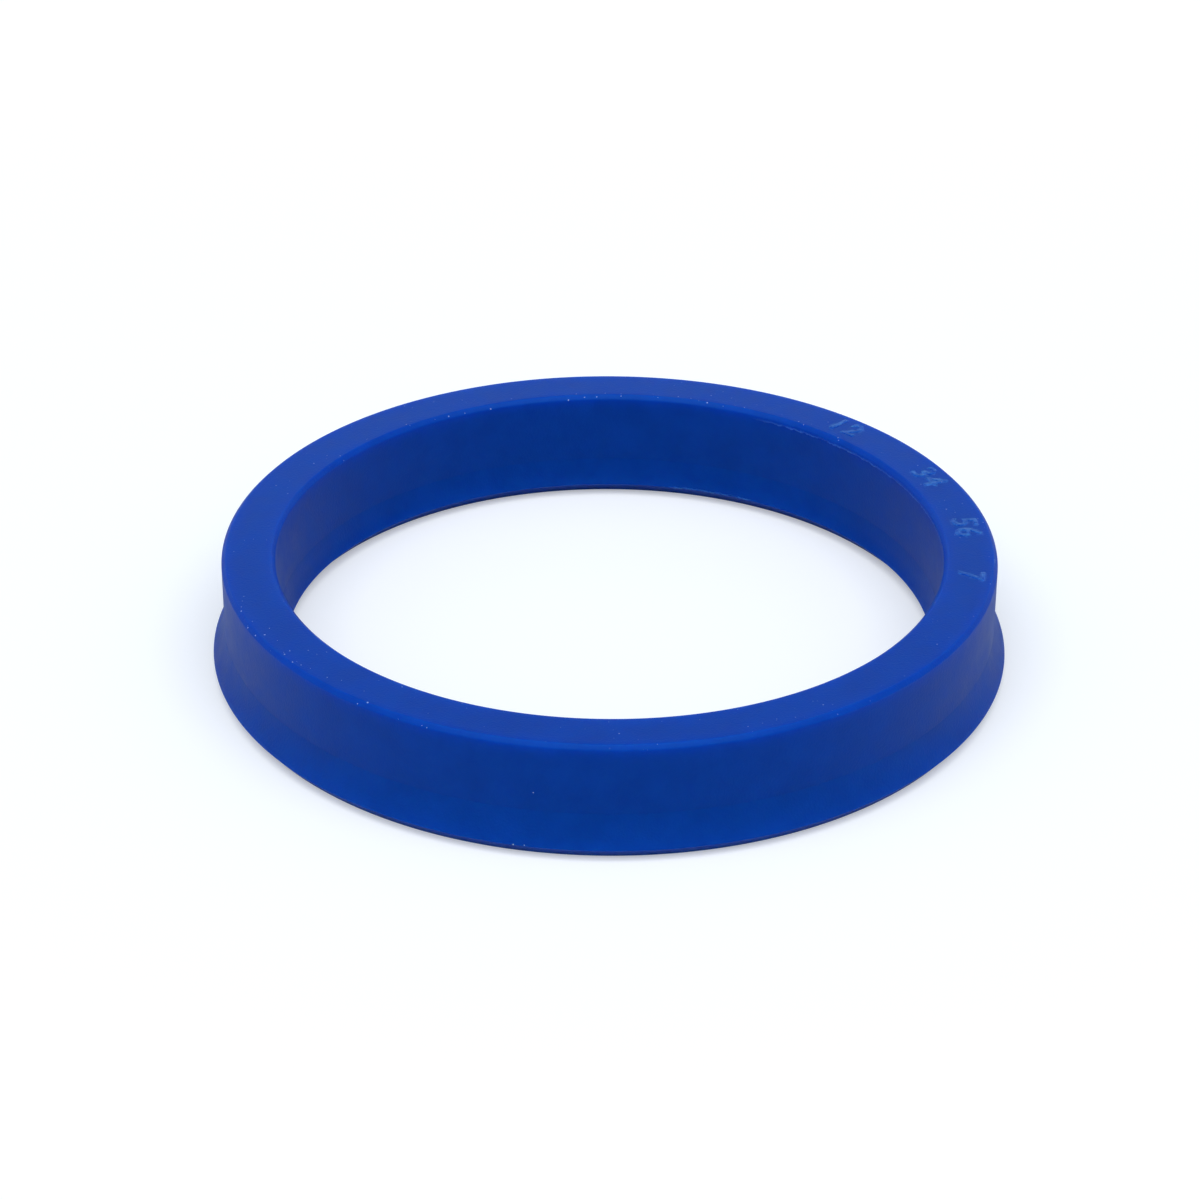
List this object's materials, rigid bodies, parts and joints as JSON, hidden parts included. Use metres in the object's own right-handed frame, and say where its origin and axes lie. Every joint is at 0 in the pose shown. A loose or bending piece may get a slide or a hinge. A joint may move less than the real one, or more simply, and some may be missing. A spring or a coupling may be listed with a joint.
{
  "type": "u cup seal",
  "caption": "Round U-section lip seal for a hydraulic rod or piston: a thick heel over an outer and an inner flared lip, with an open groove between them.",
  "frame": {"origin": "on the ring's axis, in the plane of the lip tips that the seal stands on", "axes": "+Z is the ring's axis, from the lips up to the heel face; +X and +Y are any two radii at right angles"},
  "size_m": [0.0546, 0.0546, 0.008],
  "materials": {
    "polyurethane": "satin moulded polyurethane elastomer"
  },
  "bodies": {
    "root": {"u_cup_seal": "polyurethane"}
  },
  "joints": []
}
